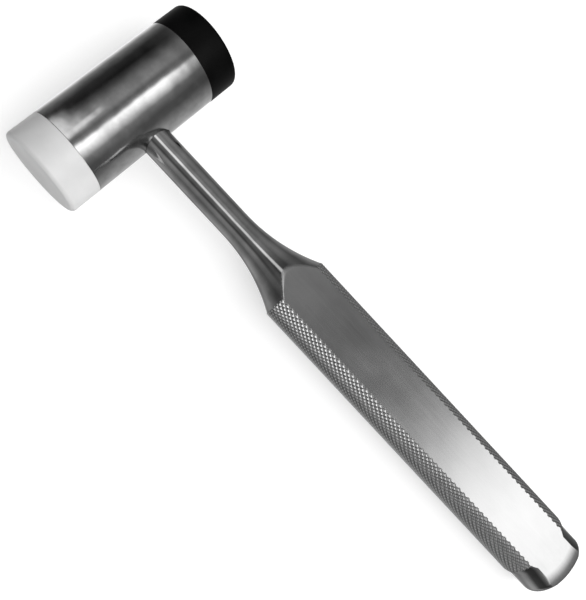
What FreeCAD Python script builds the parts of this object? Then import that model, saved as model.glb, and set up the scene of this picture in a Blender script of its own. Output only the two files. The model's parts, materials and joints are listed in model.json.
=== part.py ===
import FreeCAD, Part
import math
import os

# Bone mallet with two screw-in striking faces, lying on its side on a bench.
# Millimetres. The mallet's own axes have their origin at the head's centre:
# X runs down the handle to the butt, Y along the head to the black face, and Z is
# square to the two grip flats. lay_on_bench() then sets the finished pieces down
# so that the head and the end of the lower flat touch the bench at Z = 0.

# Head
HEAD_D = 25.0
BARREL_LENGTH = 39.6
BARREL_EDGE = 0.25
FACE_LENGTH = 9.2
FACE_EDGE_R = 1.2
FACE_BACK_EDGE = 0.2

# Screw thread of a striking face, M10 x 1.5. Both threads are drawn as plain
# cylinders with a running clearance between them.
THREAD_D = 9.9
TAPPED_BORE_D = 10.0
THREAD_PITCH = 1.5
THREAD_TURNS = 7
THREAD_LENGTH = THREAD_PITCH * THREAD_TURNS
THREAD_CHAMFER = 0.8
BORE_DEPTH = THREAD_LENGTH + 1.5

# Stud root, its moulded-in hexagon, and the seal ring round the root
ROOT_D = 8.2
ROOT_LENGTH = 1.5
HEX_ACROSS_FLATS = 13.0
HEX_THICKNESS = 3.2
SEAL_SECTION_D = 1.5
SEAL_GAP = 0.06
SEAL_SEAT_DEPTH = SEAL_SECTION_D + 2 * SEAL_GAP
SEAL_CENTRE_R = ROOT_D / 2 + SEAL_GAP + SEAL_SECTION_D / 2
SEAL_SEAT_D = 2 * (SEAL_CENTRE_R + SEAL_SECTION_D / 2 + SEAL_GAP)

# Handle: tenon, neck, turned flare, knurled grip with two flats, plain butt
TENON_D = 6.5
TENON_END = -4.0
NECK_D = 8.5
NECK_SEAT = 11.0
FLARE_START = 42.5
FLARE_R = 50.0
GRIP_D = 20.0
GRIP_END = 160.0
BUTT_STEP_LENGTH = 1.9
BUTT_STEP_HOLLOW = 0.12
BUTT_D = 18.8
BUTT_TIP = 170.9
BUTT_DOME_R = 20.0
BUTT_CORNER_R = 2.0
FLATS_APART = 15.4

# Near the butt the flats curve away, from a circle drawn about the dome's centre
ROLL_OFF_START_R = 14.7
ROLL_OFF_R = 12.0
ROLL_OFF_TURN = math.radians(45)

# Grub screw that locks the tenon, M5, reached through the white face's bore
LOCK_D = 5.0
LOCK_DIMPLE = 0.5
LOCK_SOCKET_ACROSS_FLATS = 2.5
LOCK_SOCKET_DEPTH = 2.0
LOCK_CHAMFER = 0.5

HEAD_R = HEAD_D / 2
BARREL_HALF = BARREL_LENGTH / 2
BORE_BOTTOM = BARREL_HALF - BORE_DEPTH
LOCK_TIP = LOCK_DIMPLE - TENON_D / 2
FLAT_HEIGHT = FLATS_APART / 2

# The butt's dome is a sphere, met by a rounded corner where the plain end stops
DOME_CENTRE_X = BUTT_TIP - BUTT_DOME_R
CORNER_CENTRE_R = BUTT_D / 2 - BUTT_CORNER_R
CORNER_CENTRE_X = DOME_CENTRE_X + math.sqrt((BUTT_DOME_R - BUTT_CORNER_R) ** 2 - CORNER_CENTRE_R ** 2)

ORIGIN = FreeCAD.Vector(0, 0, 0)
ALONG_HANDLE = FreeCAD.Vector(1, 0, 0)
ALONG_HEAD = FreeCAD.Vector(0, 1, 0)
SQUARE_TO_FLATS = FreeCAD.Vector(0, 0, 1)


def on_head_axis(y):
    return FreeCAD.Vector(0, y, 0)


def rod(start, direction, length, diameter):
    return Part.makeCylinder(diameter / 2, length, start, direction)


def head_rod(y_start, y_end, diameter):
    """A cylinder on the head's axis, between two places along it."""
    return rod(on_head_axis(y_start), ALONG_HEAD, y_end - y_start, diameter)


def hex_bar(y_start, y_end, across_flats):
    """A hexagonal bar on the head's axis."""
    corner_r = across_flats / math.sqrt(3)
    corners = []
    for k in range(7):
        angle = math.radians(60 * k)
        corners.append(FreeCAD.Vector(corner_r * math.cos(angle), y_start, corner_r * math.sin(angle)))
    outline = Part.Face(Part.makePolygon(corners))
    return outline.extrude(FreeCAD.Vector(0, y_end - y_start, 0))


def round_edges_at(shape, y):
    """The circular edges of a shape that lie in one plane across the head."""
    return [edge for edge in shape.Edges
            if abs(edge.BoundBox.YMin - y) < 0.001 and abs(edge.BoundBox.YMax - y) < 0.001]


def profile_point(x, r):
    return FreeCAD.Vector(x, 0, r)


def profile_arc(centre_x, centre_r, radius, start_angle, end_angle):
    """An arc of a turned profile. Angles are in radians from +X towards +r."""
    points = []
    for angle in (start_angle, (start_angle + end_angle) / 2, end_angle):
        points.append(profile_point(centre_x + radius * math.cos(angle),
                                    centre_r + radius * math.sin(angle)))
    return Part.Arc(*points).toShape()


def hollow_step(start, end, hollow):
    """An arc between two profile points that dips towards the axis by `hollow`."""
    chord = end - start
    inward = FreeCAD.Vector(chord.z, 0, -chord.x).normalize()
    middle = (start + end) * 0.5 + inward * hollow
    return Part.Arc(start, middle, end).toShape()


def polyline(points):
    return [Part.makeLine(a, b) for a, b in zip(points, points[1:])]


def head_barrel():
    barrel = head_rod(-BARREL_HALF, BARREL_HALF, HEAD_D)
    rims = round_edges_at(barrel, BARREL_HALF) + round_edges_at(barrel, -BARREL_HALF)
    barrel = barrel.makeChamfer(BARREL_EDGE, rims)
    for side in (-1, 1):
        mouth = side * BARREL_HALF
        inward = ALONG_HEAD * -side
        barrel = barrel.cut(rod(on_head_axis(mouth), inward, BORE_DEPTH, TAPPED_BORE_D))
        barrel = barrel.cut(rod(on_head_axis(mouth), inward, SEAL_SEAT_DEPTH, SEAL_SEAT_D))
    neck_seat = rod(ALONG_HANDLE * NECK_SEAT, ALONG_HANDLE, HEAD_R, NECK_D)
    tenon_hole = rod(ALONG_HANDLE * TENON_END, ALONG_HANDLE, HEAD_R - TENON_END, TENON_D)
    lock_hole = head_rod(-BORE_BOTTOM, 0, LOCK_D)
    return barrel.cut([neck_seat, tenon_hole, lock_hole])


def handle_profile():
    """Half outline of the turned bar, from the tenon's end to the butt's tip."""
    flare_centre_r = NECK_D / 2 + FLARE_R
    flare_turn = math.acos((flare_centre_r - GRIP_D / 2) / FLARE_R)
    flare_end = FLARE_START + FLARE_R * math.sin(flare_turn)
    dome_angle = math.atan2(CORNER_CENTRE_R, CORNER_CENTRE_X - DOME_CENTRE_X)

    edges = polyline([
        profile_point(TENON_END, 0),
        profile_point(TENON_END, TENON_D / 2),
        profile_point(NECK_SEAT, TENON_D / 2),
        profile_point(NECK_SEAT, NECK_D / 2),
        profile_point(FLARE_START, NECK_D / 2),
    ])
    edges.append(profile_arc(FLARE_START, flare_centre_r, FLARE_R,
                             -math.pi / 2, -math.pi / 2 + flare_turn))
    step_top = profile_point(GRIP_END, GRIP_D / 2)
    step_foot = profile_point(GRIP_END + BUTT_STEP_LENGTH, BUTT_D / 2)
    edges.append(Part.makeLine(profile_point(flare_end, GRIP_D / 2), step_top))
    edges.append(hollow_step(step_top, step_foot, BUTT_STEP_HOLLOW))
    edges.append(Part.makeLine(step_foot, profile_point(CORNER_CENTRE_X, BUTT_D / 2)))
    edges.append(profile_arc(CORNER_CENTRE_X, CORNER_CENTRE_R, BUTT_CORNER_R, math.pi / 2, dome_angle))
    edges.append(profile_arc(DOME_CENTRE_X, 0, BUTT_DOME_R, dome_angle, 0))
    edges.append(Part.makeLine(profile_point(BUTT_TIP, 0), profile_point(TENON_END, 0)))
    return Part.Wire(edges)


def between_flats():
    """The space between the two grip flats, with its end rolled off round the dome."""
    bar_start = TENON_END - 1
    slab = Part.makeBox(DOME_CENTRE_X - bar_start, HEAD_D, FLATS_APART,
                        FreeCAD.Vector(bar_start, -HEAD_R, -FLAT_HEIGHT))
    start_x = DOME_CENTRE_X + ROLL_OFF_START_R
    roll_centre_z = FLAT_HEIGHT - ROLL_OFF_R
    upward = math.pi / 2
    rolled = upward - ROLL_OFF_TURN
    edge_x = start_x + ROLL_OFF_R * math.cos(rolled)
    edge_z = roll_centre_z + ROLL_OFF_R * math.sin(rolled)
    outline = polyline([
        profile_point(start_x, -FLAT_HEIGHT),
        profile_point(DOME_CENTRE_X, -FLAT_HEIGHT),
        profile_point(DOME_CENTRE_X, FLAT_HEIGHT),
        profile_point(start_x, FLAT_HEIGHT),
    ])
    outline.append(profile_arc(start_x, roll_centre_z, ROLL_OFF_R, upward, rolled))
    outline.append(Part.makeLine(profile_point(edge_x, edge_z), profile_point(edge_x, -edge_z)))
    outline.append(profile_arc(start_x, -roll_centre_z, ROLL_OFF_R, -rolled, -upward))
    rolled_end = Part.Face(Part.Wire(outline)).revolve(profile_point(DOME_CENTRE_X, 0), SQUARE_TO_FLATS, 360)
    return slab.fuse(rolled_end).removeSplitter()


def handle():
    bar = Part.Face(handle_profile()).revolve(ORIGIN, ALONG_HANDLE, 360)
    bar = bar.common(between_flats())
    return bar.cut(head_rod(-TENON_D / 2, LOCK_TIP, LOCK_D))


def striking_face(side):
    """A plastic puck flush with the barrel, moulded round its stud's hexagon."""
    back = side * BARREL_HALF
    front = side * (BARREL_HALF + FACE_LENGTH)
    puck = head_rod(min(back, front), max(back, front), HEAD_D)
    puck = puck.makeFillet(FACE_EDGE_R, round_edges_at(puck, front))
    puck = puck.makeChamfer(FACE_BACK_EDGE, round_edges_at(puck, back))
    return puck.cut(stud(side))


def stud(side):
    """Steel stud: thread, root with the seal round it, and moulded-in hexagon."""
    joint = side * BARREL_HALF
    thread_end = side * (BARREL_HALF - THREAD_LENGTH)
    hex_start = side * (BARREL_HALF + ROOT_LENGTH)
    hex_end = side * (BARREL_HALF + ROOT_LENGTH + HEX_THICKNESS)
    seal_seat = side * (BARREL_HALF - SEAL_SEAT_DEPTH)
    thread = head_rod(min(thread_end, seal_seat), max(thread_end, seal_seat), THREAD_D)
    thread = thread.makeChamfer(THREAD_CHAMFER, round_edges_at(thread, thread_end))
    root = head_rod(min(seal_seat, hex_start), max(seal_seat, hex_start), ROOT_D)
    anchor = hex_bar(hex_start, hex_end, HEX_ACROSS_FLATS)
    return thread.fuse([root, anchor]).removeSplitter()


def seal(side):
    """Rubber ring in the mouth of the tapped bore."""
    centre = on_head_axis(side * (BARREL_HALF - SEAL_SEAT_DEPTH / 2))
    return Part.makeTorus(SEAL_CENTRE_R, SEAL_SECTION_D / 2, centre, ALONG_HEAD)


def tenon_lock_screw():
    """Socket grub screw, its tip in a dimple in the side of the tenon."""
    screw = head_rod(-BORE_BOTTOM, LOCK_TIP, LOCK_D)
    rims = round_edges_at(screw, -BORE_BOTTOM) + round_edges_at(screw, LOCK_TIP)
    screw = screw.makeChamfer(LOCK_CHAMFER, rims)
    return screw.cut(hex_bar(-BORE_BOTTOM, LOCK_SOCKET_DEPTH - BORE_BOTTOM, LOCK_SOCKET_ACROSS_FLATS))


def bench_tilt():
    """How far, in radians, the handle drops before its end touches the bench."""
    roll_centre_x = DOME_CENTRE_X + ROLL_OFF_START_R
    roll_centre_z = FLAT_HEIGHT - ROLL_OFF_R
    reach = math.hypot(roll_centre_x, roll_centre_z)
    return math.asin((HEAD_R - ROLL_OFF_R) / reach) - math.atan2(roll_centre_z, roll_centre_x)


def lay_on_bench(shape):
    """Tip the mallet about its head, then put the middle of its base at the origin."""
    tilt = bench_tilt()
    far_end_x = DOME_CENTRE_X * math.cos(tilt) + BUTT_DOME_R
    middle_x = (far_end_x - HEAD_R) / 2
    shape.rotate(ORIGIN, ALONG_HEAD, math.degrees(tilt))
    shape.translate(FreeCAD.Vector(-middle_x, 0, HEAD_R))
    return shape


def make_pieces():
    pieces = {
        "head_barrel": head_barrel(),
        "handle": handle(),
        "tenon_lock_screw": tenon_lock_screw(),
    }
    for colour, side in (("white", -1), ("black", 1)):
        pieces[colour + "_face"] = striking_face(side)
        pieces[colour + "_face_stud"] = stud(side)
        pieces[colour + "_face_seal"] = seal(side)
    return pieces


os.makedirs("parts", exist_ok=True)
for name, shape in make_pieces().items():
    lay_on_bench(shape).exportStep(os.path.join("parts", name + ".step"))
    print(name, "volume", round(shape.Volume, 1), "mm3")
print("handle drops", round(math.degrees(bench_tilt()), 3), "degrees")
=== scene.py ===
import json
import math

import bmesh
import bpy
from mathutils import Matrix, Vector


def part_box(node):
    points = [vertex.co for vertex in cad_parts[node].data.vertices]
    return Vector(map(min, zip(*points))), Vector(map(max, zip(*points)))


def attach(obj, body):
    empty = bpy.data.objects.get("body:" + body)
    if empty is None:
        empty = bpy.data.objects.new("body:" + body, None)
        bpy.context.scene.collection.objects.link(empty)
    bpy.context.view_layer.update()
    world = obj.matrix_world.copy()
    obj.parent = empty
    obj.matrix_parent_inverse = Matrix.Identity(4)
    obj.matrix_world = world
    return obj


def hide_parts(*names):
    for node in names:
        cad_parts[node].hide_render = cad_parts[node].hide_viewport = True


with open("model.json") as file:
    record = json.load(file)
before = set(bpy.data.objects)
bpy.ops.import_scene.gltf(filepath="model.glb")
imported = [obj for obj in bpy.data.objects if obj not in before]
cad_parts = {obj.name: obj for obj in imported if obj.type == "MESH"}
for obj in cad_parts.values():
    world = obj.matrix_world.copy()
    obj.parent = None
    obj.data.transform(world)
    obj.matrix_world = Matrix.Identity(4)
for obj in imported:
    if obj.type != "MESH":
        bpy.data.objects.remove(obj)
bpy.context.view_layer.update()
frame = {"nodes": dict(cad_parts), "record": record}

# ---------------------------------------------------------------------------
# Places and sizes. Lengths are metres. The mallet's own axes have their origin
# at the head's centre: X runs down the handle, Y along the head to the black
# face, and Z is square to the grip's flats. ON_BENCH takes them to the frame.
# ---------------------------------------------------------------------------
MM = 0.001
mounts = {mount["name"]: mount for mount in frame["record"]["mounts"]}

barrel_low, barrel_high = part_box("head_barrel")
face_low, face_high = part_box("white_face")
HEAD_CENTRE = (barrel_low + barrel_high) / 2
HEAD_R = (barrel_high.z - barrel_low.z) / 2
BARREL_HALF = (barrel_high.y - barrel_low.y) / 2
FACE_LENGTH = face_high.y - face_low.y

flat_axis = Vector(mounts["upper_grip_flat"]["axis"])
flat_point = Vector(mounts["upper_grip_flat"]["pos_m"])
TILT = math.atan2(flat_axis.x, flat_axis.z)
FLAT_HEIGHT = (flat_point - HEAD_CENTRE).dot(flat_axis)
ON_BENCH = Matrix.Translation(HEAD_CENTRE) @ Matrix.Rotation(TILT, 4, "Y")

# A turned piece is made round X. This turns it to lie along the head.
ALONG_HEAD = Matrix.Rotation(math.pi / 2, 4, "Z")

# A cutting tool reaches this far past the piece that it cuts
PAST = 1.0 * MM

# Handle
TENON_R = 3.25 * MM
TENON_END = -4.0 * MM
NECK_R = 4.25 * MM
NECK_SEAT = 11.0 * MM
CREST_R = 10.06 * MM
ROOT_R = 9.84 * MM
GRIP_END = 160.0 * MM
BUTT_STEP_LENGTH = 1.9 * MM
BUTT_R = 9.4 * MM
BUTT_TIP = 170.88 * MM
BUTT_DOME_R = 20.0 * MM
BUTT_CORNER_R = 2.0 * MM
ROLL_OFF_START = 14.7 * MM
ROLL_OFF_R = 12.0 * MM

# The flare is an arc that leaves the neck smoothly and ends just clear of the knurl
FLARE_START = 42.5 * MM
FLARE_R = 50.0 * MM
FLARE_CENTRE_R = NECK_R + FLARE_R
FLARE_TOP_R = CREST_R + 0.3 * MM
FLARE_TURN = math.acos((FLARE_CENTRE_R - FLARE_TOP_R) / FLARE_R)
ARCH_EASING = 0.3 * MM

# Diamond knurl: diamonds round the bar, and each one's length along it
KNURL_ROUND = 50
KNURL_PITCH = 1.75 * MM
KNURL_TIP_SHARE = 0.3
KNURL_START = 62.5 * MM
KNURL_ROWS = 58
BAR_OUTER_R = 11.5 * MM

# Head
BARREL_EDGE = 0.12 * MM
NECK_HOLE_R = NECK_R + 0.12 * MM
FACE_EDGE_R = 1.2 * MM
FACE_BACK_EDGE = 0.1 * MM
BORE_R = 5.0 * MM
BORE_DEPTH = 12.0 * MM
SEAL_SEAT_R = 5.72 * MM
SEAL_SEAT_DEPTH = 1.62 * MM
SEAL_SECTION_R = 0.75 * MM
SEAL_CENTRE_R = 4.91 * MM
LOCK_R = 2.5 * MM

# Stud
THREAD_PITCH = 1.5 * MM
THREAD_LENGTH = 10.5 * MM
THREAD_CREST_R = 4.93 * MM
THREAD_ROOT_R = 4.1 * MM
ROOT_LENGTH = 1.5 * MM
HEX_ACROSS_FLATS = 13.0 * MM
HEX_CORNER_R = HEX_ACROSS_FLATS / math.sqrt(3)
HEX_THICKNESS = 3.2 * MM

# The thread's outline over one pitch: root, flank, crest, flank. Each span has its
# start and end as shares of the pitch, its radius at both, and its number of steps.
THREAD_SPANS = ((0.0, 0.22, THREAD_ROOT_R, THREAD_ROOT_R, 2),
                (0.22, 0.56, THREAD_ROOT_R, THREAD_CREST_R, 4),
                (0.56, 0.68, THREAD_CREST_R, THREAD_CREST_R, 2),
                (0.68, 1.0, THREAD_CREST_R, THREAD_ROOT_R, 4))

# Facets round the turned pieces and holes
BAR_SIDES = 192
BARREL_SIDES = 256
NECK_HOLE_SIDES = 128
LOCK_HOLE_SIDES = 64
FACE_SIDES = 192
SEAL_SIDES = 96
THREAD_SIDES = 72

# Edges that turn by less than this look smooth
SMOOTH_BELOW = math.radians(30)
# A radius below this is on the axis
ON_AXIS = 1e-9
SURFACE_COUNT = 4


# ---------------------------------------------------------------------------
# Mesh building
# ---------------------------------------------------------------------------
def mesh_object(name, points, faces, place=Matrix.Identity(4), surface=0):
    """An object with its place in its vertices, as the CAD nodes have it."""
    mesh = bpy.data.meshes.new(name)
    mesh.from_pydata([place @ Vector(p) for p in points], [], faces)
    mesh.update()
    for _ in range(SURFACE_COUNT):
        mesh.materials.append(None)
    for polygon in mesh.polygons:
        polygon.material_index = surface
    made = bpy.data.objects.new(name, mesh)
    bpy.context.scene.collection.objects.link(made)
    return made


def arc(centre_x, centre_r, radius, start, end, steps):
    """Profile points on an arc, angles in radians from +X towards +r."""
    angles = [start + (end - start) * k / steps for k in range(steps + 1)]
    return [(centre_x + radius * math.cos(a), centre_r + radius * math.sin(a)) for a in angles]


def round_x(x, r, angle):
    """The point at radius r and an angle round X."""
    return (x, r * math.cos(angle), r * math.sin(angle))


def turned(name, profile, segments, place, surface=0):
    """A solid of revolution round X. The profile starts and ends on the axis, or is a
    loop clear of it, and runs so that the solid is on its right."""
    points, rings = [], []
    for x, r in profile:
        if r < ON_AXIS:
            rings.append([len(points)])
            points.append((x, 0, 0))
            continue
        rings.append(list(range(len(points), len(points) + segments)))
        for k in range(segments):
            points.append(round_x(x, r, 2 * math.pi * k / segments))
    is_loop = profile[0][1] > ON_AXIS
    pairs = list(zip(rings, rings[1:] + rings[:1])) if is_loop else list(zip(rings, rings[1:]))
    faces = []
    for a, b in pairs:
        for k in range(segments):
            n = (k + 1) % segments
            if len(a) == 1:
                faces.append((a[0], b[n], b[k]))
            elif len(b) == 1:
                faces.append((a[k], a[n], b[0]))
            else:
                faces.append((a[k], a[n], b[n], b[k]))
    return mesh_object(name, points, faces, place, surface)


def tidied(piece, distance=1e-7):
    """Joins points that coincide, and turns every face outwards."""
    work = bmesh.new()
    work.from_mesh(piece.data)
    bmesh.ops.remove_doubles(work, verts=work.verts, dist=distance)
    bmesh.ops.dissolve_degenerate(work, edges=work.edges, dist=distance)
    bmesh.ops.recalc_face_normals(work, faces=work.faces)
    work.to_mesh(piece.data)
    work.free()
    return piece


def boolean(base, operation, *tools):
    """Applies exact booleans to base, and removes the tools."""
    for tool in tools:
        modifier = base.modifiers.new("boolean", "BOOLEAN")
        modifier.operation = operation
        modifier.solver = "EXACT"
        modifier.object = tool
        depsgraph = bpy.context.evaluated_depsgraph_get()
        result = bpy.data.meshes.new_from_object(base.evaluated_get(depsgraph))
        base.modifiers.clear()
        base.data = result
        bpy.data.objects.remove(tool)
    return base


def turned_normals(profile):
    """The true normal of a solid turned from `profile`, as a rule for shade()."""
    spans = []
    count = len(profile)
    is_loop = profile[0][1] > ON_AXIS
    for k in range(count if is_loop else count - 1):
        start, end = Vector(profile[k]), Vector(profile[(k + 1) % count])
        spans.append((start, end, Vector((start.y - end.y, end.x - start.x)).normalized()))
    blends = []
    for k, (start, end, normal) in enumerate(spans):
        pair = []
        for other in (spans[k - 1][2], spans[(k + 1) % len(spans)][2]):
            is_smooth = normal.dot(other) > math.cos(SMOOTH_BELOW)
            pair.append((normal + other).normalized() if is_smooth else normal)
        blends.append(pair)

    def share_along(point, start, end):
        line = end - start
        return min(1, max(0, (point - start).dot(line) / line.length_squared))

    def gap(point, k):
        start, end, _ = spans[k]
        return (start.lerp(end, share_along(point, start, end)) - point).length

    nearest = {}

    def rule(centre, point):
        middle = Vector((centre.x, math.hypot(centre.y, centre.z)))
        key = (round(middle.x, 7), round(middle.y, 7))
        if key not in nearest:
            nearest[key] = min(range(len(spans)), key=lambda k: gap(middle, k))
        k = nearest[key]
        start, end, _ = spans[k]
        r = math.hypot(point.y, point.z)
        share = share_along(Vector((point.x, r)), start, end)
        flat = blends[k][0].lerp(blends[k][1], share).normalized()
        if r < ON_AXIS:
            return Vector((flat.x, 0, 0))
        return Vector((flat.x, flat.y * point.y / r, flat.y * point.z / r))
    return rule


def shade(piece, place, materials, rules):
    """Gives each surface its material, and its true normals by its rule. A rule takes a
    face's centre and a corner, both before `place`. None leaves the surface's facets."""
    mesh = piece.data
    surfaces = [polygon.material_index for polygon in mesh.polygons]
    mesh.materials.clear()
    for made in materials:
        mesh.materials.append(made)
    sides = {}
    for polygon, surface in zip(mesh.polygons, surfaces):
        polygon.material_index = surface
        for key in polygon.edge_keys:
            sides.setdefault(key, []).append(polygon)
    for edge in mesh.edges:
        one, other = sides[edge.key]
        edge.use_edge_sharp = (one.material_index != other.material_index
                               or rules[one.material_index] is None
                               or one.normal.angle(other.normal) > SMOOTH_BELOW)
    back = place.inverted()
    turn = place.to_3x3()
    normals = [None] * len(mesh.loops)
    for polygon in mesh.polygons:
        polygon.use_smooth = True
        rule = rules[polygon.material_index]
        centre = back @ polygon.center
        for loop in polygon.loop_indices:
            if rule is None:
                normals[loop] = polygon.normal.copy()
                continue
            corner = back @ mesh.vertices[mesh.loops[loop].vertex_index].co
            normal = turn @ rule(centre, corner)
            normals[loop] = normal if normal.dot(polygon.normal) > 0 else -normal
    mesh.normals_split_custom_set(normals)
    return piece


def install(piece, body, slot, *nodes):
    """Rides a piece on its body, in place of its CAD node."""
    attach(piece, body)
    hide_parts(*nodes)
    return piece


# ---------------------------------------------------------------------------
# Materials
# ---------------------------------------------------------------------------
class Nodes:
    """A node tree being put together."""

    def __init__(self, tree):
        self.tree = tree

    def add(self, kind, **settings):
        node = self.tree.nodes.new(kind)
        for key, value in settings.items():
            setattr(node, key, value)
        return node

    def link(self, source, node, socket):
        self.tree.links.new(source, node.inputs[socket])

    def math(self, operation, first, second):
        node = self.add("ShaderNodeMath", operation=operation)
        for k, value in enumerate((first, second)):
            if isinstance(value, (int, float)):
                node.inputs[k].default_value = value
            else:
                self.link(value, node, k)
        return node.outputs[0]

    def ranged(self, value, low, high, from_low=0.0, from_high=1.0):
        node = self.add("ShaderNodeMapRange")
        node.inputs["From Min"].default_value = from_low
        node.inputs["From Max"].default_value = from_high
        node.inputs["To Min"].default_value = low
        node.inputs["To Max"].default_value = high
        self.link(value, node, "Value")
        return node.outputs[0]

    def ramp(self, value, stops):
        """A grey for each value, from (position, grey) stops."""
        node = self.add("ShaderNodeValToRGB")
        elements = node.color_ramp.elements
        while len(elements) < len(stops):
            elements.new(0.5)
        for element, (position, grey) in zip(elements, stops):
            element.position = position
            element.color = (grey, grey, grey, 1)
        self.link(value, node, "Fac")
        return node.outputs[0]


class Shader(Nodes):
    """A material being put together. Coordinates are the frame's, in metres."""

    def __init__(self, name):
        self.material = bpy.data.materials.new(name)
        self.material.use_nodes = True
        super().__init__(self.material.node_tree)
        self.principled = self.tree.nodes["Principled BSDF"]
        self.place = self.add("ShaderNodeTexCoord").outputs["Object"]

    def fixed(self, **values):
        for key, value in values.items():
            self.principled.inputs[key.replace("_", " ")].default_value = value

    def mallet_place(self):
        """Coordinates in the mallet's own axes, so that X runs along the handle."""
        move = self.add("ShaderNodeVectorMath", operation="SUBTRACT")
        move.inputs[1].default_value = HEAD_CENTRE
        self.link(self.place, move, 0)
        turn = self.add("ShaderNodeVectorRotate", rotation_type="Y_AXIS")
        turn.inputs["Angle"].default_value = -TILT
        self.link(move.outputs[0], turn, "Vector")
        return turn.outputs[0]

    def scaled(self, place, scale):
        node = self.add("ShaderNodeVectorMath", operation="MULTIPLY")
        node.inputs[1].default_value = scale
        self.link(place, node, 0)
        return node.outputs[0]

    def noise(self, place, scale, detail=2.0, roughness=0.5):
        """Noise with `scale` features per metre along each axis."""
        node = self.add("ShaderNodeTexNoise")
        node.inputs["Scale"].default_value = 1.0
        node.inputs["Detail"].default_value = detail
        node.inputs["Roughness"].default_value = roughness
        self.link(self.scaled(place, scale), node, "Vector")
        return node.outputs["Fac"]

    def colour(self, value, *stops):
        """The base colour, as greys from (position, grey) stops."""
        self.link(self.ramp(value, stops), self.principled, "Base Color")

    def bump(self, height, depth, strength=1.0):
        """Chains one more bump of `depth` metres onto the normal."""
        node = self.add("ShaderNodeBump")
        node.inputs["Distance"].default_value = depth
        node.inputs["Strength"].default_value = strength
        self.link(height, node, "Height")
        links = self.principled.inputs["Normal"].links
        if links:
            self.link(links[0].from_socket, node, "Normal")
        self.link(node.outputs[0], self.principled, "Normal")

    def roughness(self, value):
        self.link(value, self.principled, "Roughness")


def polished_steel(name, axis, haze, waviness):
    """Hand-polished steel: turning lines round one of the mallet's axes, and a slight
    waviness, in metres. `haze` is the least roughness."""
    look = Shader(name)
    look.fixed(Metallic=1.0)
    place = look.mallet_place()
    scale = [40.0, 40.0, 40.0]
    scale[axis] = 9000.0
    lines = look.noise(place, scale, detail=3.0)
    smears = look.noise(place, (160, 160, 160), detail=3.0)
    look.colour(smears, (0.35, 0.41), (0.65, 0.58))
    hazy = look.ranged(smears, haze, haze + 0.07)
    look.roughness(look.math("ADD", look.ranged(lines, 0.0, 0.05), hazy))
    look.bump(look.noise(place, (190, 190, 190), detail=1.0), waviness)
    look.bump(lines, 0.0012 * MM)
    return look.material


def knurled_steel():
    """Cut diamonds, with painted shade: the colour darkens from the tips down into the grooves."""
    look = Shader("knurled_steel")
    look.fixed(Metallic=1.0)
    place = look.mallet_place()
    flatten = look.scaled(place, (0, 1, 1))
    length = look.add("ShaderNodeVectorMath", operation="LENGTH")
    look.link(flatten, length, 0)
    depth = look.ranged(length.outputs["Value"], 0.0, 1.0, ROOT_R, CREST_R)
    grime = look.noise(place, (300, 300, 300), detail=4.0)
    # Painted shade: the colour is darker towards the grooves' roots, set by the radius, and varies at
    # random
    painted_groove_shade = look.math("MULTIPLY", depth, look.ranged(grime, 0.7, 1.2))
    look.colour(painted_groove_shade, (0.0, 0.3), (0.5, 0.77), (1.0, 0.9))
    look.roughness(look.ranged(grime, 0.24, 0.36))
    look.bump(look.noise(place, (6000, 6000, 6000), detail=2.0), 0.006 * MM)
    return look.material


def satin_flat():
    """Ground flat, brushed along the handle."""
    look = Shader("satin_flat")
    look.fixed(Metallic=1.0)
    place = look.mallet_place()
    strokes = look.noise(place, (45, 2400, 2400), detail=3.0, roughness=0.6)
    patches = look.noise(place, (90, 130, 130), detail=4.0)
    tone = look.math("ADD", look.ranged(strokes, 0.0, 0.25), look.ranged(patches, 0.1, 0.75))
    look.colour(tone, (0.2, 0.42), (0.8, 0.56))
    dullness = look.ranged(patches, 0.1, 0.18)
    look.roughness(look.math("ADD", look.ranged(strokes, 0.0, 0.06), dullness))
    look.bump(strokes, 0.0014 * MM)
    return look.material


def machined_steel():
    """Turned steel, left bright: fine turning lines round the head's own axis."""
    look = Shader("machined_steel")
    look.fixed(Metallic=1.0)
    tone = look.noise(look.place, (700, 700, 700), detail=3.0)
    look.colour(tone, (0.3, 0.5), (0.7, 0.62))
    look.roughness(look.ranged(tone, 0.2, 0.34))
    look.bump(look.noise(look.place, (400, 16000, 400), detail=1.0), 0.002 * MM)
    return look.material


def moulded_plastic(name, dark, light, roughness, shine, glow):
    """Smooth turned plastic with faint turning rings and rubbed patches. `dark` and
    `light` are its greys, and `glow` is the share of light that soaks in."""
    look = Shader(name)
    look.fixed(IOR=1.5, Specular_IOR_Level=shine)
    look.fixed(Subsurface_Weight=glow, Subsurface_Scale=2.5 * MM)
    look.principled.inputs["Subsurface Radius"].default_value = (1.0, 1.0, 1.0)
    rubbed = look.noise(look.place, (150, 150, 150), detail=4.0)
    look.colour(rubbed, (0.3, dark), (0.7, light))
    look.roughness(look.ranged(rubbed, roughness - 0.05, roughness + 0.07))
    look.bump(look.noise(look.place, (500, 9000, 500), detail=2.0), 0.002 * MM)
    look.bump(look.noise(look.place, (2500, 2500, 2500), detail=2.0), 0.002 * MM)
    return look.material


def seal_rubber():
    """Dull black rubber with dust on it."""
    look = Shader("seal_rubber")
    look.fixed(IOR=1.45)
    dust = look.noise(look.place, (900, 900, 900), detail=4.0)
    look.colour(dust, (0.35, 0.018), (0.8, 0.05))
    look.roughness(look.ranged(dust, 0.45, 0.65))
    look.bump(dust, 0.01 * MM)
    return look.material


# ---------------------------------------------------------------------------
# The handle: a knurled bar, turned to its outline and milled flat on two sides
# ---------------------------------------------------------------------------
SURFACE_POLISHED, SURFACE_KNURL, SURFACE_FLAT, SURFACE_ARCH = 0, 1, 2, 3


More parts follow.
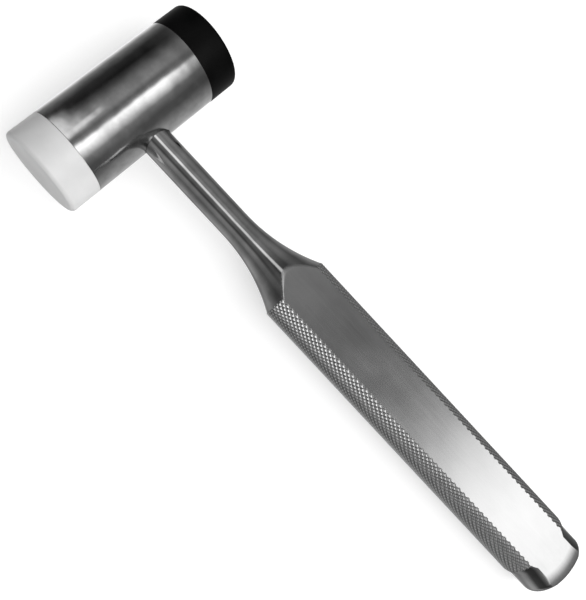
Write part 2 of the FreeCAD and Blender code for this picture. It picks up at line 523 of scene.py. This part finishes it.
def knurled_bar():
    """A bar whose grip is cut in diamonds. Its fat ends stand clear of the outline."""
    points, faces = [], []
    step = 2 * math.pi / KNURL_ROUND
    last_row = 2 * KNURL_ROWS

    def on_bar(x, r, angle):
        points.append(round_x(x, r, angle))
        return len(points) - 1

    def crossing(row, k):
        """The groove crossing k of a row, odd rows half a diamond round."""
        return row * KNURL_ROUND + k % KNURL_ROUND

    for row in range(last_row + 1):
        for k in range(KNURL_ROUND):
            on_bar(KNURL_START + row * KNURL_PITCH / 2, ROOT_R, (k + (row % 2) / 2) * step)

    for row in range(last_row - 1):
        odd = row % 2
        centre_x = KNURL_START + (row + 1) * KNURL_PITCH / 2
        for k in range(KNURL_ROUND):
            centre_angle = (k + odd / 2) * step
            corners = [crossing(row, k), crossing(row + 1, k + odd),
                       crossing(row + 2, k), crossing(row + 1, k + odd - 1)]
            reach = KNURL_TIP_SHARE / 2
            tips = [on_bar(centre_x - reach * KNURL_PITCH, CREST_R, centre_angle),
                    on_bar(centre_x, CREST_R, centre_angle + reach * step),
                    on_bar(centre_x + reach * KNURL_PITCH, CREST_R, centre_angle),
                    on_bar(centre_x, CREST_R, centre_angle - reach * step)]
            faces.append(tuple(reversed(tips)))
            for a in range(4):
                b = (a + 1) % 4
                faces.append((corners[b], corners[a], tips[a], tips[b]))

    for row, toward in ((0, 1), (last_row, -1)):
        for k in range(KNURL_ROUND):
            near = (crossing(row, k), crossing(row, k + 1), crossing(row + toward, k))
            faces.append(near if toward > 0 else tuple(reversed(near)))

    for row, end_x, toward in ((0, TENON_END - 2 * PAST, 1), (last_row, BUTT_TIP + 2 * PAST, -1)):
        ring = [crossing(row, k) for k in range(KNURL_ROUND)]
        for x in (points[ring[0]][0], end_x):
            outer = [on_bar(x, BAR_OUTER_R, k * step) for k in range(KNURL_ROUND)]
            for k in range(KNURL_ROUND):
                n = (k + 1) % KNURL_ROUND
                wall = (ring[k], outer[k], outer[n], ring[n])
                faces.append(wall if toward > 0 else tuple(reversed(wall)))
            ring = outer
        faces.append(tuple(reversed(ring)) if toward < 0 else tuple(ring))
    return tidied(mesh_object("handle_grip", points, faces, ON_BENCH, SURFACE_KNURL))


def flare_arc(steps):
    """The flare's profile points."""
    return arc(FLARE_START, FLARE_CENTRE_R, FLARE_R, -math.pi / 2, -math.pi / 2 + FLARE_TURN, steps)


def handle_profile():
    """The turned outline: tenon, neck, flare, room for the grip, and plain butt."""
    corner_r = BUTT_R - BUTT_CORNER_R
    dome_x = BUTT_TIP - BUTT_DOME_R
    corner_x = dome_x + math.sqrt((BUTT_DOME_R - BUTT_CORNER_R) ** 2 - corner_r ** 2)
    dome_angle = math.atan2(corner_r, corner_x - dome_x)
    step_slope = (CREST_R - BUTT_R) / BUTT_STEP_LENGTH
    step_start = GRIP_END - (FLARE_TOP_R - CREST_R) / step_slope

    profile = [(TENON_END, 0), (TENON_END, TENON_R), (NECK_SEAT, TENON_R), (NECK_SEAT, NECK_R)]
    neck_steps = 16
    profile += [(NECK_SEAT + (FLARE_START - NECK_SEAT) * k / neck_steps, NECK_R)
                for k in range(1, neck_steps)]
    profile += flare_arc(40)
    profile += [(step_start, FLARE_TOP_R), (GRIP_END + BUTT_STEP_LENGTH, BUTT_R)]
    profile += arc(corner_x, corner_r, BUTT_CORNER_R, math.pi / 2, dome_angle, 10)
    profile += arc(dome_x, 0, BUTT_DOME_R, dome_angle, 0, 12)[1:-1]
    profile.append((BUTT_TIP, 0))
    return profile


def flats_cutter():
    """The space between the two flats, which roll off towards the butt's dome. It is one
    outline, swept along the bar's side, round the dome's centre and back."""
    dome_x = BUTT_TIP - BUTT_DOME_R
    past_dome = BUTT_DOME_R + PAST
    roll_off_z = FLAT_HEIGHT - ROLL_OFF_R
    end_angle = math.pi / 2 - math.asin((past_dome - ROLL_OFF_START) / ROLL_OFF_R)
    upper = [(0, FLAT_HEIGHT)]
    upper += arc(ROLL_OFF_START, roll_off_z, ROLL_OFF_R, math.pi / 2, end_angle, 16)
    outline = upper + [(reach, -z) for reach, z in reversed(upper)]

    stations = [(TENON_END - PAST, math.pi / 2)]
    steps = 64
    stations += [(dome_x, math.pi / 2 - math.pi * k / steps) for k in range(steps + 1)]
    stations += [(TENON_END - PAST, -math.pi / 2)]
    points = [(x + reach * math.cos(angle), reach * math.sin(angle), z)
              for x, angle in stations for reach, z in outline]
    count = len(outline)
    faces = []
    for station in range(len(stations) - 1):
        for k in range(count - 1):
            a = station * count + k
            faces.append((a, a + count, a + count + 1, a + 1))
    last_station = (len(stations) - 1) * count
    faces.append(tuple(range(count)) + tuple(last_station + k for k in reversed(range(count))))
    return tidied(mesh_object("flats_cutter", points, faces, ON_BENCH, SURFACE_FLAT))


def flat_normal(centre, point):
    """Square to the flats, and leaning outwards where they roll off."""
    along = point.x - (BUTT_TIP - BUTT_DOME_R)
    out = math.hypot(along, point.y) - ROLL_OFF_START
    if along <= 0 or out <= 0:
        return Vector((0, 0, math.copysign(1, centre.z)))
    turn = math.atan2(point.y, along)
    lean = math.asin(out / ROLL_OFF_R)
    return Vector((math.sin(lean) * math.cos(turn), math.sin(lean) * math.sin(turn),
                   math.copysign(math.cos(lean), centre.z)))


def arch_cutter():
    """The space where the depths below the flat and below the flare add up to ARCH_EASING
    or more, which eases the edges where the two meet. At each x it ends in a parabola
    across the handle. Past the flare it is clear of the grip."""
    # Its steps keep its edges off the edges of the bar and the outline
    outline = [(TENON_END - PAST, NECK_R)] + flare_arc(37)
    outline += [(outline[-1][0] + PAST / 10, BAR_OUTER_R), (BUTT_TIP + PAST, BAR_OUTER_R)]
    steps = 33
    across = [BAR_OUTER_R * (2 * k / steps - 1) for k in range(steps + 1)]
    points = []
    for x, r in outline:
        reach = FLAT_HEIGHT + r - ARCH_EASING
        upper = [(x, y, (reach ** 2 - y ** 2) / (2 * reach)) for y in across]
        points += upper + [(x, y, -z) for x, y, z in reversed(upper)]
    count = 2 * len(across)
    faces = [tuple(range(count))]
    last_station = (len(outline) - 1) * count
    for station in range(0, last_station, count):
        for k in range(count):
            a, b = station + k, station + (k + 1) % count
            faces += [(a, a + count, b + count), (a, b + count, b)]
    faces.append(tuple(last_station + k for k in reversed(range(count))))
    return tidied(mesh_object("arch_cutter", points, faces, ON_BENCH, SURFACE_ARCH))


def make_handle(materials):
    """The bar that the outline, the flats and their eased edges have in common."""
    profile = handle_profile()
    turned_rule = turned_normals(profile)

    def arch_normal(centre, point):
        """The flat's at the flat, the flare's at the flare, and blended between."""
        share = min(1, max(0, (FLAT_HEIGHT - abs(point.z)) / ARCH_EASING))
        return flat_normal(centre, point).lerp(turned_rule(centre, point), share).normalized()

    blank = turned("handle_blank", profile, BAR_SIDES, ON_BENCH, SURFACE_POLISHED)
    bar = tidied(boolean(knurled_bar(), "INTERSECT", blank, flats_cutter(), arch_cutter()))
    bar.name = "handle_bar"
    shade(bar, ON_BENCH, materials, [turned_rule, None, flat_normal, arch_normal])
    return install(bar, "mallet", "handle_steel", "handle")


# ---------------------------------------------------------------------------
# The head
# ---------------------------------------------------------------------------
SURFACE_HOLE = 1


def make_barrel(material):
    """The barrel with its two bores, the handle's hole, and the lock screw's hole."""
    half, edge = BARREL_HALF, BARREL_EDGE
    bore_end = half - BORE_DEPTH
    seat_end = half - SEAL_SEAT_DEPTH
    side = [(bore_end, 0), (bore_end, BORE_R), (seat_end, BORE_R), (seat_end, SEAL_SEAT_R),
            (half, SEAL_SEAT_R), (half, HEAD_R - edge)]
    rounded = arc(half - edge, HEAD_R - edge, edge, 0, math.pi / 2, 4)[1:]
    half_profile = side + rounded
    profile = [(-x, r) for x, r in half_profile] + list(reversed(half_profile))
    along_head = ON_BENCH @ ALONG_HEAD
    barrel = turned("barrel", profile, BARREL_SIDES, along_head)
    neck_hole = turned("neck_hole", [
        (TENON_END, 0), (TENON_END, TENON_R), (NECK_SEAT, TENON_R), (NECK_SEAT, NECK_HOLE_R),
        (HEAD_R + PAST, NECK_HOLE_R), (HEAD_R + PAST, 0)], NECK_HOLE_SIDES, ON_BENCH, SURFACE_HOLE)
    in_bore = -bore_end - PAST
    lock_hole = turned("lock_hole", [(in_bore, 0), (in_bore, LOCK_R), (0, LOCK_R), (0, 0)],
                       LOCK_HOLE_SIDES, along_head, SURFACE_HOLE)
    boolean(barrel, "DIFFERENCE", neck_hole, lock_hole)
    shade(barrel, along_head, [material, material], [turned_normals(profile), None])
    return install(barrel, "mallet", "polished_steel", "head_barrel")


def side_of_head(side):
    """Lays a turned piece along the head, its X pointing out of that side."""
    return ON_BENCH @ (ALONG_HEAD if side > 0 else ALONG_HEAD.inverted())


def make_face(colour, side, material):
    """A plastic puck round its stud's root and hexagon."""
    back, front = BARREL_HALF, BARREL_HALF + FACE_LENGTH
    back_r, front_r = HEAD_R - FACE_BACK_EDGE, HEAD_R - FACE_EDGE_R
    profile = [(back, 0), (back, back_r)]
    profile += arc(back + FACE_BACK_EDGE, back_r, FACE_BACK_EDGE, math.pi, math.pi / 2, 4)[1:]
    profile += arc(front - FACE_EDGE_R, front_r, FACE_EDGE_R, math.pi / 2, 0, 12)
    rings = 6
    profile += [(front, front_r * (1 - k / rings)) for k in range(1, rings)]
    profile += [(front, 0)]
    place = side_of_head(side)
    puck = turned(colour + "_striking_face", profile, FACE_SIDES, place)
    shade(puck, place, [material], [turned_normals(profile)])
    slots = {"white": "white_nylon", "black": "black_plastic"}
    return install(puck, colour + "_striker", slots[colour], colour + "_face")


def make_seal(colour, side, material):
    """The rubber ring in the mouth of a bore."""
    centre_x = BARREL_HALF - SEAL_SEAT_DEPTH / 2
    profile = arc(centre_x, SEAL_CENTRE_R, SEAL_SECTION_R, 0, 2 * math.pi, 20)[:-1]
    place = side_of_head(side)
    ring = tidied(turned(colour + "_rubber_ring", profile, SEAL_SIDES, place))
    shade(ring, place, [material], [turned_normals(profile)])
    return install(ring, colour + "_seal_ring", "seal_rubber", colour + "_face_seal")


def thread_mesh(start, end, root_end):
    """Points and faces of a right-hand thread, which runs out at both ends, and its plain root.
    Each column of points runs along the stud, and climbs with the thread from side to side."""
    outline = []
    for low, high, low_r, high_r, steps in THREAD_SPANS:
        outline += [(low + (high - low) * k / steps, low_r + (high_r - low_r) * k / steps)
                    for k in range(steps)]
    per_turn = len(outline)
    turns = math.ceil((end - start) / THREAD_PITCH) + 1
    rows = per_turn * turns + 1
    angles = [2 * math.pi * k / THREAD_SIDES for k in range(THREAD_SIDES)]
    points, faces = [], []
    for k in range(THREAD_SIDES):
        for row in range(rows):
            share, outline_r = outline[row % per_turn]
            x = start + THREAD_PITCH * (row // per_turn + share + k / THREAD_SIDES - 1)
            x = min(max(x, start), end)
            r = min(outline_r, THREAD_ROOT_R + x - start, THREAD_ROOT_R + end - x)
            points.append(round_x(x, r, angles[k]))
    for k in range(THREAD_SIDES):
        is_last = k == THREAD_SIDES - 1
        shift = per_turn if is_last else 0
        column = k * rows
        following = shift if is_last else column + rows
        for row in range(rows - 1 - shift):
            faces.append((column + row, following + row, following + row + 1, column + row + 1))
    first = [k * rows for k in range(THREAD_SIDES)]
    last = [column + rows - 1 for column in first]
    rim = [len(points) + k for k in range(THREAD_SIDES)]
    points += [round_x(root_end, THREAD_ROOT_R, angle) for angle in angles]
    faces.append(tuple(reversed(first)))
    for k in range(THREAD_SIDES):
        n = (k + 1) % THREAD_SIDES
        faces.append((last[k], last[n], rim[n], rim[k]))
    faces.append(tuple(rim))
    return points, faces


def hexagon_mesh(near, far, count):
    """Points and faces of the hexagon, to follow `count` points."""
    points = [round_x(x, HEX_CORNER_R, math.pi * k / 3) for x in (near, far) for k in range(6)]
    corner = range(count, count + 12)
    faces = [tuple(reversed(corner[:6])), tuple(corner[6:])]
    for k in range(6):
        n = (k + 1) % 6
        faces.append((corner[k], corner[n], corner[n + 6], corner[k + 6]))
    return points, faces


def make_stud(colour, side, material):
    """A threaded stud with the hexagon that is moulded into its face."""
    root_end = BARREL_HALF + ROOT_LENGTH
    thread_end = BARREL_HALF - SEAL_SEAT_DEPTH
    points, faces = thread_mesh(BARREL_HALF - THREAD_LENGTH, thread_end, root_end)
    hexagon = hexagon_mesh(root_end, root_end + HEX_THICKNESS, len(points))
    name = colour + "_threaded_stud"
    stud = tidied(mesh_object(name, points + hexagon[0], faces + hexagon[1], side_of_head(side)))
    stud.data.materials.clear()
    stud.data.materials.append(material)
    stud.data.shade_smooth()
    stud.data.set_sharp_from_angle(angle=SMOOTH_BELOW)
    return install(stud, colour + "_striker", "plain_steel", colour + "_face_stud")


# ---------------------------------------------------------------------------
# Stage, light and camera
# ---------------------------------------------------------------------------
def make_floor():
    """A plain pale floor, which glows so that its shadows stay pale. It is hidden from
    reflections, so the steel reflects the studio's greys from below as well."""
    look = Shader("pale_floor")
    grain = look.noise(look.place, (12, 12, 12), detail=3.0)
    look.colour(grain, (0.3, 0.6), (0.7, 0.64))
    look.roughness(look.ranged(grain, 0.75, 0.85))
    look.fixed(Emission_Color=(1, 1, 1, 1), Emission_Strength=0.59)
    reach = 6.0
    corners = [(-reach, -reach, 0), (reach, -reach, 0), (reach, reach, 0), (-reach, reach, 0)]
    floor = mesh_object("pale_floor", corners, [(0, 1, 2, 3)])
    floor.data.materials.clear()
    floor.data.materials.append(look.material)
    floor.visible_glossy = False


def softbox(name, tip_x, tip_y, width, length, distance, brightness):
    """A rectangular light aimed at the head, hidden from reflections. The angles, in
    degrees, tip it from overhead towards the butt (tip_x) and the black face (tip_y)."""
    data = bpy.data.lights.new(name, "AREA")
    data.shape = "RECTANGLE"
    data.size, data.size_y = width, length
    data.energy = brightness * width * length * math.pi
    lamp = bpy.data.objects.new(name, data)
    back = Vector((math.tan(math.radians(tip_x)), math.tan(math.radians(tip_y)), 1)).normalized()
    side = Vector((0, 1, 0)).cross(back).normalized()
    axes = Matrix((side, back.cross(side), back)).transposed().to_4x4()
    lamp.matrix_world = Matrix.Translation(HEAD_CENTRE + back * distance) @ axes
    lamp.visible_camera = False
    lamp.visible_glossy = False
    bpy.context.scene.collection.objects.link(lamp)


class Studio(Nodes):
    """The greys of the studio round the mallet, by direction. An angle is in degrees from
    straight up: towards the butt, or towards the black face. The greys were worked out
    from the bands on the photographed steel and then adjusted, so this is not a
    plain light, and the steel's bands come from it."""

    def __init__(self, tree):
        super().__init__(tree)
        direction = self.add("ShaderNodeSeparateXYZ")
        self.link(self.add("ShaderNodeTexCoord").outputs["Generated"], direction, 0)
        self.x, self.y, self.z = direction.outputs
        self.towards_butt = self.math("ARCTAN2", self.x, self.z)
        self.towards_black = self.math("ARCTAN2", self.y, self.z)

    def by_degrees(self, angle, *stops):
        share = self.ranged(angle, 0, 1, -math.pi, math.pi)
        return self.ramp(share, [(degrees / 360 + 0.5, grey) for degrees, grey in stops])

    def product(self, first, *others):
        for other in others:
            first = self.math("MULTIPLY", first, other)
        return first

    def without(self, grey, share):
        """A grey less a share of itself."""
        return self.math("MULTIPLY", grey, self.math("SUBTRACT", 1, share))

    def near_plane(self):
        """The greys near the handle's own plane, from one ramp towards the butt. They are
        darker on the white face's side, below and above the horizon, though no darker
        than a floor tone beyond the head."""
        grey = self.by_degrees(
            self.towards_butt, (-180, 0.5), (-147, 0.62), (-131, 0.42), (-115, 0.17), (-98, 0.08),
            (-80, 0.02), (-56, 0.006), (-42, 0.035), (-34, 0.07), (-18, 0.16), (-3, 0.2), (8, 0.09),
            (15, 0.13), (19, 0.24), (23, 0.86), (26, 1.1), (33, 0.94), (46, 0.5), (56, 0.16),
            (78, 0.07), (95, 0.07), (125, 0.2), (180, 0.33))
        low = self.product(self.ranged(self.z, 0, 1, 0, -0.3), self.ranged(self.x, 1, 0.6, -0.2, 0.3),
                           self.ranged(self.y, 0.75, 0, -0.15, 0.15))
        high = self.product(self.ranged(self.y, 0.5, 0, -0.3, 0), self.ranged(self.z, 0, 1, -0.1, 0.3))
        grey = self.without(self.without(grey, low), high)
        beyond_head = self.product(self.ranged(self.y, 0.065, 0, -0.3, 0),
                                   self.ranged(self.x, 1, 0, -0.5, -0.2))
        return self.math("MAXIMUM", grey, beyond_head)

    def at_sides(self):
        """The greys at the handle's sides, from one ramp towards the black face. They are
        darker beyond the butt, on the black side and in a band on the white side, and
        beyond the head."""
        grey = self.by_degrees(
            self.towards_black, (-164, 0.21), (-136, 0.23), (-112, 0.17), (-96, 0.115), (-82, 0.09),
            (-68, 0.14), (-52, 0.17), (-38, 0.04), (-20, 0.03), (0, 0.12), (28, 0.09), (44, 0.13),
            (60, 0.145), (76, 0.11), (92, 0.07), (108, 0.115), (124, 0.16), (156, 0.15))
        black_side = self.product(self.ranged(self.x, 0, 0.6, 0.1, 0.5),
                                  self.ranged(self.y, 0, 1, -0.1, 0.1))
        band = self.product(
            self.ranged(self.x, 0, 0.75, 0.2, 0.4),
            self.by_degrees(self.towards_black, (-122, 0), (-106, 1), (-82, 1), (-60, 0)))
        grey = self.without(self.without(grey, black_side), band)
        return self.math("MULTIPLY", grey, self.ranged(self.x, 0.4, 1, -0.65, -0.3))

    def panel(self, across, along):
        """A soft-edged light, from its stops towards the black face and towards the butt."""
        return self.product(self.by_degrees(self.towards_black, *across),
                            self.by_degrees(self.towards_butt, *along))


def make_world():
    """A grey studio with three soft lights: a strip over the handle, a brighter length of it
    over the neck, and a softbox beyond the butt on the white face's side."""
    world = bpy.data.worlds.new("studio")
    bpy.context.scene.world = world
    world.use_nodes = True
    studio = Studio(world.node_tree)
    sideways = studio.ranged(studio.math("ABSOLUTE", studio.y, 0), 0, 1, 0.4, 0.6)
    grey = studio.math("ADD", studio.without(studio.near_plane(), sideways),
                       studio.product(studio.at_sides(), sideways))
    strip = studio.panel(((-10, 0), (-6, 0.58), (3, 0.58), (8, 0)),
                         ((-90, 0), (-75, 1), (-4, 1), (5, 0)))
    over_neck = studio.panel(((-9, 0), (-5, 0.66), (6, 0.66), (11, 0)),
                             ((-19, 0), (-14, 1), (-6, 1), (-2, 0)))
    beyond_butt = studio.panel(((-70, 0), (-58, 0.8), (-8, 0.8), (0, 0)),
                               ((30, 0), (38, 1), (56, 1), (64, 0)))
    for light in (strip, over_neck, beyond_butt):
        grey = studio.math("MAXIMUM", grey, light)
    reflected = world.node_tree.nodes["Background"]
    reflected.inputs["Strength"].default_value = 2.0
    studio.link(grey, reflected, "Color")

    seen = studio.add("ShaderNodeBackground")
    seen.inputs["Color"].default_value = (0.93, 0.93, 0.93, 1)
    mix = studio.add("ShaderNodeMixShader")
    studio.link(studio.add("ShaderNodeLightPath").outputs["Is Camera Ray"], mix, "Fac")
    studio.link(reflected.outputs[0], mix, 1)
    studio.link(seen.outputs[0], mix, 2)
    studio.link(mix.outputs[0], world.node_tree.nodes["World Output"], "Surface")


def make_camera():
    """Above the mallet, a little past the white face. Given in the mallet's axes."""
    spot = Vector((62.7, -53.6, 185.1)) * MM
    target = Vector((67.8, -2.4, 0)) * MM
    picture_up = math.radians(135.8)
    ahead = (target - spot).normalized()
    right = ahead.cross(Vector((math.cos(picture_up), math.sin(picture_up), 0))).normalized()
    axes = Matrix((right, right.cross(ahead), -ahead)).transposed().to_4x4()
    data = bpy.data.cameras.new("camera")
    data.lens = 43.1
    data.clip_start = 0.01
    camera = bpy.data.objects.new("camera", data)
    camera.matrix_world = ON_BENCH @ Matrix.Translation(spot) @ axes
    bpy.context.scene.collection.objects.link(camera)
    bpy.context.scene.camera = camera


make_camera()
make_world()
make_floor()
softbox("butt_side_softbox", tip_x=38, tip_y=20, width=0.5, length=1.3, distance=0.9, brightness=2.9)
softbox("overhead_softbox", tip_x=6, tip_y=4, width=0.4, length=0.4, distance=1.0, brightness=0.8)
bpy.context.scene.view_settings.view_transform = "Standard"

ALONG_HANDLE, ALONG_BARREL = 0, 1
head_steel = polished_steel("polished_steel", ALONG_BARREL, haze=0.06, waviness=0.08 * MM)
neck_steel = polished_steel("neck_steel", ALONG_HANDLE, haze=0.04, waviness=0.02 * MM)
eased_steel = polished_steel("eased_steel", ALONG_HANDLE, haze=0.2, waviness=0.02 * MM)
white = moulded_plastic("white_nylon", dark=0.67, light=0.73, roughness=0.34, shine=0.5, glow=0.12)
black = moulded_plastic("black_plastic", dark=0.001, light=0.003, roughness=0.45, shine=0.1, glow=0.0)
steel = machined_steel()
make_handle([neck_steel, knurled_steel(), satin_flat(), eased_steel])
make_barrel(head_steel)
make_face("white", -1, white)
make_face("black", 1, black)
rubber = seal_rubber()
for colour, side in (("white", -1), ("black", 1)):
    make_seal(colour, side, rubber)
    make_stud(colour, side, steel)
# The lock screw keeps its CAD shape, deep in the white face's bore
lock_screw = frame["nodes"]["tenon_lock_screw"].data
lock_screw.materials.clear()
lock_screw.materials.append(steel)
